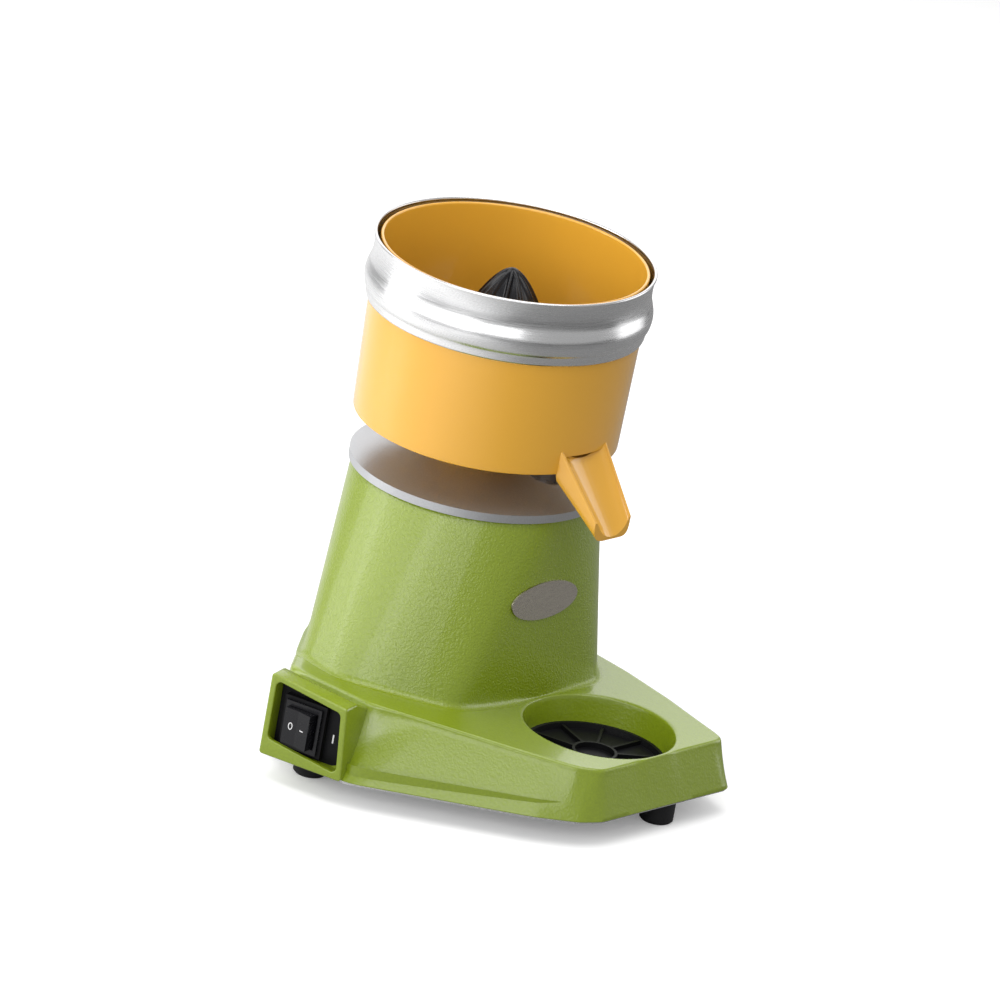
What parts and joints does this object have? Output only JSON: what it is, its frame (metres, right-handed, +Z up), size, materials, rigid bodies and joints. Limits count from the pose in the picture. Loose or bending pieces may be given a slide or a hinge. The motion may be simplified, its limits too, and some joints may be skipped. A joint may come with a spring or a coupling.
{
  "type": "electric citrus juicer",
  "caption": "Electric citrus juicer: oval motor tower on a cast base with cup recess, lift-off bowl with open spout, strainer, splash guard and ribbed squeezer.",
  "frame": {"origin": "middle of the machine's footprint box, on the table", "axes": "+Z up along the spindle, -Y to the front where the spout points, +X to the right as seen by someone facing the spout, so the switch is at -X"},
  "size_m": [0.3094, 0.322, 0.35],
  "materials": {
    "green_enamel": "hammered gloss enamel on an aluminium casting",
    "yellow_plastic": "glossy translucent plastic",
    "sheet_steel": "softly brushed stainless sheet",
    "cast_aluminium": "bare satin casting with a machined rim",
    "bright_steel": "ground or zinc-plated steel",
    "core_steel": "stacked steel sheets",
    "copper": "enamelled copper wire",
    "black_plastic": "fine-grained black",
    "dark_plastic": "black, a little glossy",
    "white_plastic": "plain",
    "brass": "plain",
    "black_rubber": "plain"
  },
  "bodies": {
    "frame": {"base_casting": "green_enamel", "bottom_cover": "sheet_steel", "cover_screws": "bright_steel", "rubber_feet": "black_rubber", "foot_screws": "bright_steel", "cord_gland": "black_plastic", "earth_screw": "brass", "switch_plate": "black_plastic", "switch_body": "black_plastic", "switch_bezel": "black_plastic", "switch_collar": "dark_plastic", "motor_housing": "green_enamel", "housing_bolts": "bright_steel", "badge_plate": "sheet_steel", "top_flange": "cast_aluminium", "flange_gasket": "black_rubber", "flange_screws": "bright_steel", "shaft_seal": "black_rubber", "upper_bearing": "bright_steel", "lower_bearing": "bright_steel", "bearing_bracket": "cast_aluminium", "tie_rods": "bright_steel", "tie_rod_nuts": "bright_steel", "stator_core": "core_steel", "stator_windings": "copper", "capacitor": "white_plastic", "capacitor_clamp": "bright_steel", "terminal_block": "white_plastic"},
    "rotor": {"rotor_core": "core_steel", "drive_shaft": "bright_steel", "drive_pin": "bright_steel", "cooling_fan": "black_plastic"},
    "squeezer": {"squeezer": "dark_plastic"},
    "bowl": {"bowl": "yellow_plastic"},
    "strainer": {"strainer": "sheet_steel"},
    "guard": {"splash_guard": "sheet_steel"},
    "tray": {"drip_tray": "black_plastic"},
    "rocker": {"switch_rocker": "dark_plastic"}
  },
  "joints": [
    {"name": "rotor_spin", "type": "hinge", "parent": "frame", "child": "rotor", "pos_m": [0.05321, 0.0595, 0.2], "axis": [0, 0, 1], "continuous": true},
    {"name": "squeezer_lift", "type": "slide", "parent": "rotor", "child": "squeezer", "axis": [0, 0, 1], "range_m": [0, 0.12]},
    {"name": "bowl_lift", "type": "slide", "parent": "frame", "child": "bowl", "axis": [0, 0, 1], "range_m": [0, 0.06]},
    {"name": "strainer_lift", "type": "slide", "parent": "bowl", "child": "strainer", "axis": [0, 0, 1], "range_m": [0, 0.03]},
    {"name": "guard_lift", "type": "slide", "parent": "bowl", "child": "guard", "axis": [0, 0, 1], "range_m": [0, 0.06]},
    {"name": "tray_lift", "type": "slide", "parent": "frame", "child": "tray", "axis": [0, 0, 1], "range_m": [0, 0.04]},
    {"name": "rocker_tip", "type": "hinge", "parent": "frame", "child": "rocker", "pos_m": [-0.1395, 0.01051, 0.045], "axis": [0, 0, 1], "range_deg": [0, 16]}
  ],
  "couplings": [
    {"joint": "bowl_lift", "follows": "squeezer_lift", "ratio": 0.5},
    {"joint": "strainer_lift", "follows": "squeezer_lift", "ratio": 0.25}
  ]
}
